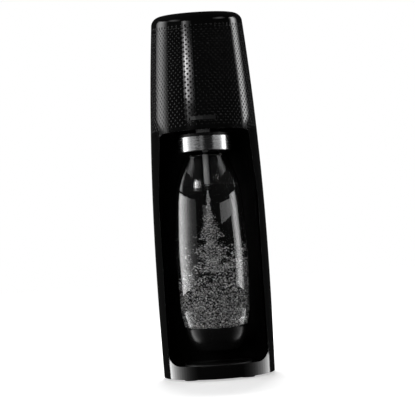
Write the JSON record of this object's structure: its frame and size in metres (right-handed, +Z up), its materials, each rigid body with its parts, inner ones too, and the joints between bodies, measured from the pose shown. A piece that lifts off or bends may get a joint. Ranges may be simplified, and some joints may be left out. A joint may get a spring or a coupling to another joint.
{
  "type": "soda carbonator",
  "caption": "Slim upright soda carbonator: tilting bottle holder with nozzle, top button and lever valve, gas cylinder, clear bottle and removable rear cover.",
  "frame": {"origin": "on the table, under the middle of the outer box", "axes": "+Z up, the front with the bottle faces -Y, +X to the right of someone facing it"},
  "size_m": [0.13, 0.1848, 0.4237],
  "materials": {
    "gloss_black": "high gloss moulded",
    "matt_black": "fine moulded texture",
    "badge": "plain satin",
    "black_rubber": "matt",
    "steel": "brushed",
    "brass": "turned",
    "clear_bottle": "clear",
    "grey_nozzle": "satin",
    "cylinder_alloy": "satin"
  },
  "bodies": {
    "housing": {"front_housing": "gloss_black", "bay_liner": "gloss_black", "head_cap": "gloss_black", "base_plate": "matt_black", "chassis": "matt_black", "head_floor": "matt_black", "button_frame": "matt_black", "cylinder_cradle": "matt_black", "name_plate": "badge", "foot_front_left": "black_rubber", "foot_front_right": "black_rubber", "foot_rear_left": "black_rubber", "foot_rear_right": "black_rubber", "seal_washer": "black_rubber", "gas_hose": "black_rubber", "holder_pivot_pin": "steel", "pivot_bracket": "steel", "valve_bracket": "steel", "lever_pivot_pin": "steel", "return_spring": "steel", "base_screw_front_left": "steel", "base_screw_front_right": "steel", "base_screw_rear_left": "steel", "base_screw_rear_right": "steel", "valve_screw_left": "steel", "valve_screw_right": "steel", "bracket_screw_left": "steel", "bracket_screw_right": "steel", "valve_body": "brass", "cylinder_socket": "brass", "relief_valve": "brass", "outlet_fitting": "brass", "inlet_fitting": "brass"},
    "tray": {"drip_tray": "matt_black"},
    "rear_cover": {"rear_cover": "gloss_black"},
    "cover_latch": {"cover_latch": "matt_black"},
    "button": {"carbonating_button": "gloss_black"},
    "lever": {"valve_lever": "steel"},
    "plunger": {"plunger": "steel"},
    "holder": {"holder_carriage": "matt_black", "collar_ring": "steel", "nozzle_block": "grey_nozzle", "nozzle_tube": "grey_nozzle", "nozzle_tip": "grey_nozzle", "bottle_seal": "black_rubber"},
    "jaw_left": {"snap_jaw_left": "matt_black"},
    "jaw_right": {"snap_jaw_right": "matt_black"},
    "bottle": {"bottle_shell": "clear_bottle", "bottle_base": "matt_black"},
    "cylinder": {"cylinder_body": "cylinder_alloy", "cylinder_valve": "brass"},
    "cylinder_pin": {"cylinder_pin": "brass"}
  },
  "joints": [
    {"name": "tray_lift", "type": "slide", "parent": "housing", "child": "tray", "axis": [0, 0, 1], "range_m": [0, 0.006]},
    {"name": "cover_hinge", "type": "hinge", "parent": "housing", "child": "rear_cover", "pos_m": [0, 0.0926, 0.0055], "axis": [-1, 0, 0], "range_deg": [0, 30]},
    {"name": "latch_press", "type": "slide", "parent": "rear_cover", "child": "cover_latch", "axis": [0, -1, 0], "range_m": [0, 0.0025], "stiffness_N_per_m": 800},
    {"name": "button_press", "type": "slide", "parent": "housing", "child": "button", "axis": [0, 0, -1], "range_m": [0, 0.005], "stiffness_N_per_m": 3000},
    {"name": "lever_swing", "type": "hinge", "parent": "housing", "child": "lever", "pos_m": [0, 0.06406, 0.403], "axis": [1, 0, 0], "range_deg": [0, 6.7]},
    {"name": "plunger_press", "type": "slide", "parent": "housing", "child": "plunger", "axis": [0, 0, -1], "range_m": [0, 0.0018], "deforming": ["return_spring"]},
    {"name": "cylinder_unscrew", "type": "slide", "parent": "housing", "child": "cylinder", "axis": [0, 0, -1], "range_m": [0, 0.0085]},
    {"name": "pin_press", "type": "slide", "parent": "cylinder", "child": "cylinder_pin", "axis": [0, 0, -1], "range_m": [0, 0.0018]},
    {"name": "holder_tilt", "type": "hinge", "parent": "housing", "child": "holder", "pos_m": [0, -0.02294, 0.3], "axis": [-1, 0, 0], "range_deg": [0, 15]},
    {"name": "jaw_left_open", "type": "slide", "parent": "holder", "child": "jaw_left", "axis": [-1, 0, 0], "range_m": [0, 0.0015]},
    {"name": "jaw_right_open", "type": "slide", "parent": "holder", "child": "jaw_right", "axis": [1, 0, 0], "range_m": [0, 0.0015]},
    {"name": "bottle_release", "type": "slide", "parent": "holder", "child": "bottle", "axis": [0, 0, -1], "range_m": [0, 0.007]}
  ],
  "couplings": [
    {"joint": "lever_swing", "follows": "button_press", "rad_per_m": 23.25},
    {"joint": "plunger_press", "follows": "button_press", "ratio": 0.3488},
    {"joint": "pin_press", "follows": "button_press", "ratio": 0.3488},
    {"joint": "jaw_left_open", "follows": "holder_tilt", "m_per_rad": 0.0057},
    {"joint": "jaw_right_open", "follows": "holder_tilt", "m_per_rad": 0.0057}
  ]
}
